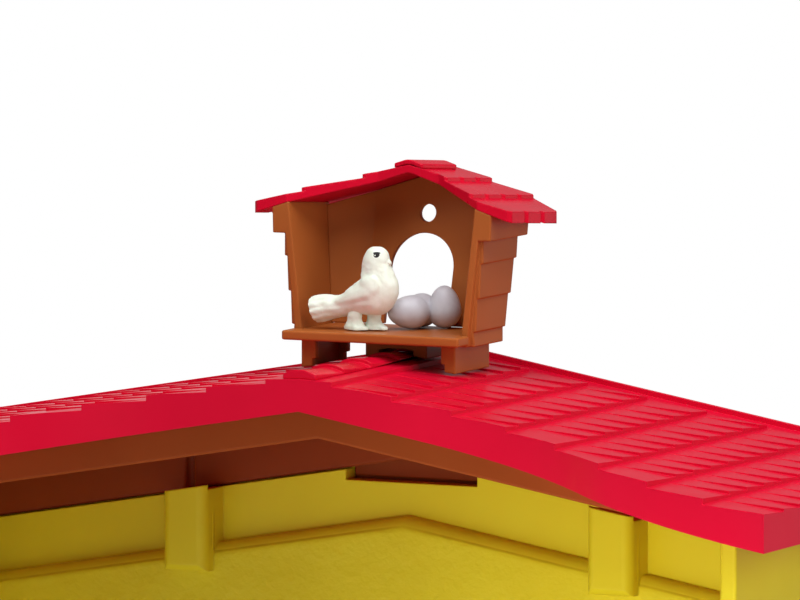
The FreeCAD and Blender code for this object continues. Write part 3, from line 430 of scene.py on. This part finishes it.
def dove():
    """Body, beak and legs, raised by the plumage and kept inside the node's box."""
    shape = bmesh.new()
    loft(shape, [dove_ring(section) for section in between(DOVE_RINGS, 6)])
    loft(shape, [dove_ring(section) for section in between(BEAK_RINGS, 3)])
    for shift, across in DOVE_FEET:
        loft(shape, [dove_ring(section, shift, across, 48, 9) for section in between(LEG_RINGS, 4)])
    bmesh.ops.recalc_face_normals(shape, faces=shape.faces)
    shape.normal_update()
    heights = [(vert, vert.normal * plumage(vert.co)) for vert in shape.verts]
    for vert, height in heights:
        for axis, reached in enumerate(vert.co + height):
            vert.co[axis] = min(max(reached, DOVE_LOW[axis]), DOVE_HIGH[axis])
    made = piece("dove_figure", shape, dove_paint(), ["dove"])
    soften(made, 0.3 * MM, segments=2, angle=60)


EGG_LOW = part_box("egg_clutch")[0]
EGG_RADIUS = 5.0 * MM
EGG_LONG = 12.6 * MM
EGG_TAPER = 0.06
EGG_SPREAD = 4.3 * MM
EGG_MIDDLE = Vector((8.2 * MM, EGG_LOW.y + 8.0 * MM, EGG_LOW.z + EGG_RADIUS - 0.2 * MM))


def egg_rings(levels=28, corners=40):
    """Rings of an upright egg, blunt end down."""
    rings = []
    for level in range(levels):
        angle = math.pi * ((level + 0.5) / levels - 0.5)
        half = EGG_RADIUS * math.cos(angle) * (1 - EGG_TAPER * max(math.sin(angle), 0))
        up = (EGG_LONG - EGG_RADIUS if angle > 0 else EGG_RADIUS) * math.sin(angle)
        turns = [2 * math.pi * index / corners for index in range(corners)]
        rings.append([Vector((half * math.cos(turn), half * math.sin(turn), up)) for turn in turns])
    return rings


def eggs():
    """One egg that stands and two that lie, close together."""
    shape = bmesh.new()
    lying = Matrix.Rotation(math.radians(90), 3, "Y")
    clutch = [(Matrix.Identity(3), (0.95, 0.7)),
              (Matrix.Rotation(math.radians(222), 3, "Z") @ lying, (-0.75, -0.75)),
              (Matrix.Rotation(math.radians(300), 3, "Z") @ lying, (-0.8, 0.8))]
    for turn, (across, back) in clutch:
        place = EGG_MIDDLE + EGG_SPREAD * Vector((across, back, 0))
        loft(shape, [[place + turn @ point for point in ring] for ring in egg_rings()])
    piece("egg_clutch_figure", shape, egg_paint(), ["egg_clutch"])


dove()
eggs()

# The other nodes, with the width of their softened edges in millimetres
SLOPE_NODES = {"roof_left": 0.08, "roof_right": 0.08}
RED_NODES = {"ridge_tiles": 0.35, "cote_roof_left": 0.4, "cote_roof_right": 0.4, "cote_ridge_cap": 0.35}
YELLOW_NODES = {"back_wall": 1.5, "left_wall": 0.9, "right_wall": 0.9}
# The doors, gable boards and tab take the brown with deep painted shade.
SHADED_BROWN_NODES = {
    "left_door": 0.35, "right_door": 0.35, "gable_board_left": 1.0, "gable_board_centre": 1.0,
    "gable_board_right": 1.0, "gable_tab": 0.4,
}
# The front truss takes the brown with light painted shade.
DIMMED_BROWN_NODES = {"front_truss": 0.8}
BROWN_NODES = {
    "roof_tongue_left": 0.4, "roof_tongue_right": 0.4, "cote_floor": 0.6, "cote_back_wall": 0.3,
    "cote_wall_left": 0.35, "cote_wall_right": 0.35, "cote_foot_left": 0.35, "cote_foot_right": 0.35,
    "cote_saddle": 0.4,
}
for node, width in SLOPE_NODES.items():
    moulded(node, SLOPE_RED, width * MM, segments=2)
for node, width in RED_NODES.items():
    moulded(node, RED, width * MM)
for node, width in YELLOW_NODES.items():
    moulded(node, YELLOW, width * MM)
for node, width in DIMMED_BROWN_NODES.items():
    moulded(node, DIMMED_BROWN, width * MM)
for node, width in SHADED_BROWN_NODES.items():
    moulded(node, SHADED_BROWN, width * MM)
for node, width in BROWN_NODES.items():
    moulded(node, BROWN, width * MM)


# Stage: a pale floor that fades to white, a white studio, soft lamps and the camera

FLOOR_TONES = (0.68, 0.70)
FLOOR_RADIUS = 0.6
FLOOR_FADE = (0.30, 0.58)
FLOOR_GLOW = 0.2


def floor():
    """A pale disc that catches the shadow and fades into the white backdrop."""
    material, nodes, shader, place = start_material("floor_white")
    tree = material.node_tree
    shader.inputs["Roughness"].default_value = 0.9
    grain = nodes.even(nodes.noise(place, 30.0, 3.0), 0.0, 1.0)
    dark, light = ((tone, tone, tone, 1) for tone in FLOOR_TONES)
    nodes.join(nodes.mix(grain, dark, light), shader.inputs["Base Color"])
    reach = nodes.add("ShaderNodeVectorMath", operation="LENGTH")
    nodes.join(place, reach.inputs[0])
    edge = nodes.span(reach.outputs["Value"], *FLOOR_FADE, 0.0, 1.0)
    glow = nodes.add("ShaderNodeEmission")
    path = nodes.add("ShaderNodeLightPath").outputs
    nodes.join(nodes.math("MAXIMUM", path["Is Camera Ray"], FLOOR_GLOW), glow.inputs["Strength"])
    fade = nodes.add("ShaderNodeMixShader")
    nodes.join(edge, fade.inputs[0])
    nodes.join(shader.outputs[0], fade.inputs[1])
    nodes.join(glow.outputs[0], fade.inputs[2])
    nodes.join(fade.outputs[0], tree.nodes["Material Output"].inputs["Surface"])
    shape = bmesh.new()
    bmesh.ops.create_circle(shape, cap_ends=True, segments=96, radius=FLOOR_RADIUS)
    mesh = bpy.data.meshes.new("floor")
    shape.to_mesh(mesh)
    shape.free()
    mesh.materials.append(material)
    made = bpy.data.objects.new("floor", mesh)
    bpy.context.scene.collection.objects.link(made)


# Strength of the world: as light, as what gloss mirrors in the room, and what a patch behind adds to that
AMBIENT = 0.12
ROOM_SHEEN = 0.10
SLOPE_SHEEN = 0.15


def studio():
    """A white backdrop for the camera. Gloss mirrors a dim room, with a low bright band behind the object
    on its left and right, and a fainter patch above the left one."""
    world = bpy.data.worlds.new("studio")
    bpy.context.scene.world = world
    world.use_nodes = True
    nodes = Nodes(world.node_tree)
    background = world.node_tree.nodes["Background"]
    background.inputs["Color"].default_value = (1.0, 1.0, 1.0, 1.0)
    path = nodes.add("ShaderNodeLightPath").outputs
    axes = nodes.add("ShaderNodeSeparateXYZ")
    nodes.join(nodes.add("ShaderNodeTexCoord").outputs["Generated"], axes.inputs[0])
    behind = nodes.span(axes.outputs["Y"], 0.55, 0.92, 0.0, 1.0)
    leftward = nodes.span(axes.outputs["X"], -0.46, -0.37, 1.0, 0.0)
    rightward = nodes.span(axes.outputs["X"], 0.10, 0.35, 0.0, 0.45)
    sides = nodes.math("MAXIMUM", leftward, rightward)
    above = nodes.span(axes.outputs["Z"], -0.25, -0.10, 0.0, 1.0)
    below = nodes.span(axes.outputs["Z"], 0.02, 0.16, 1.0, 0.0)
    low = nodes.math("MULTIPLY", above, below)
    band = nodes.math("MULTIPLY", nodes.math("MULTIPLY", behind, sides), low)
    leftmost = nodes.span(axes.outputs["X"], -0.32, -0.22, 1.0, 0.0)
    lifted = nodes.math("MULTIPLY", nodes.span(axes.outputs["Z"], 0.05, 0.13, 0.0, SLOPE_SHEEN),
                        nodes.span(axes.outputs["Z"], 0.28, 0.36, 1.0, 0.0))
    patch = nodes.math("MULTIPLY", lifted, nodes.math("MULTIPLY", behind, leftmost))
    sheen = nodes.math("MAXIMUM", band, nodes.math("ADD", patch, ROOM_SHEEN))
    seen = nodes.math("MAXIMUM", path["Is Camera Ray"], path["Is Transmission Ray"])
    change = nodes.math("MULTIPLY", path["Is Glossy Ray"], nodes.math("SUBTRACT", sheen, AMBIENT))
    level = nodes.math("MAXIMUM", seen, nodes.math("ADD", change, AMBIENT))
    nodes.join(level, background.inputs["Strength"])


def softbox(name, place, aim, size, watts, mirrored=False, spread=180):
    """An area lamp that the camera doesn't see, nor gloss unless it is mirrored."""
    lamp = bpy.data.lights.new(name, "AREA")
    lamp.spread = math.radians(spread)
    lamp.shape = "RECTANGLE"
    lamp.size, lamp.size_y = size
    lamp.energy = watts
    made = bpy.data.objects.new(name, lamp)
    made.visible_camera = False
    made.visible_glossy = mirrored
    made.location = place
    made.rotation_mode = "QUATERNION"
    made.rotation_quaternion = (Vector(aim) - Vector(place)).to_track_quat("-Z", "Y")
    bpy.context.scene.collection.objects.link(made)


CAMERA_TURN, CAMERA_TILT = math.radians(25.7), math.radians(5.4)
CAMERA_AIM = Vector((0.0, 36.8, 186.6)) * MM
CAMERA_DISTANCE = 2.941
LENS_MM, SENSOR_MM = 450.0, 36.0


def camera():
    """A long lens from the front right, a little above the eaves."""
    turn, tilt = CAMERA_TURN, CAMERA_TILT
    look = Vector((-math.sin(turn) * math.cos(tilt), math.cos(turn) * math.cos(tilt), -math.sin(tilt)))
    lens = bpy.data.cameras.new("camera")
    lens.lens = LENS_MM
    lens.sensor_width = SENSOR_MM
    lens.clip_end = 100.0
    made = bpy.data.objects.new("camera", lens)
    made.location = CAMERA_AIM - look * CAMERA_DISTANCE
    made.rotation_mode = "QUATERNION"
    made.rotation_quaternion = look.to_track_quat("-Z", "Y")
    bpy.context.scene.collection.objects.link(made)
    bpy.context.scene.camera = made


floor()
studio()
softbox("overhead", (0.35, -0.32, 1.30), (0.05, -0.05, 0.12), (1.3, 1.1), 19.5, mirrored=True)
softbox("key", (1.25, -0.35, 0.50), (0, 0, 0.15), (0.7, 0.7), 5.5)
softbox("fill", (-0.71, -0.84, 1.0), (0, 0, 0.17), (0.6, 0.5), 4.0)
softbox("front", (-0.10, -1.30, 0.16), (0, 0, 0.13), (0.5, 0.2), 1.2)
softbox("room", (0.15, -0.32, 0.06), (0.09, 0.04, 0.095), (0.10, 0.08), 0.045, spread=45)
softbox("rear", (-0.4, 1.2, 0.7), (0, 0.05, 0.12), (0.8, 0.6), 3.0)
camera()

scene = bpy.context.scene
scene.view_settings.view_transform = "Standard"
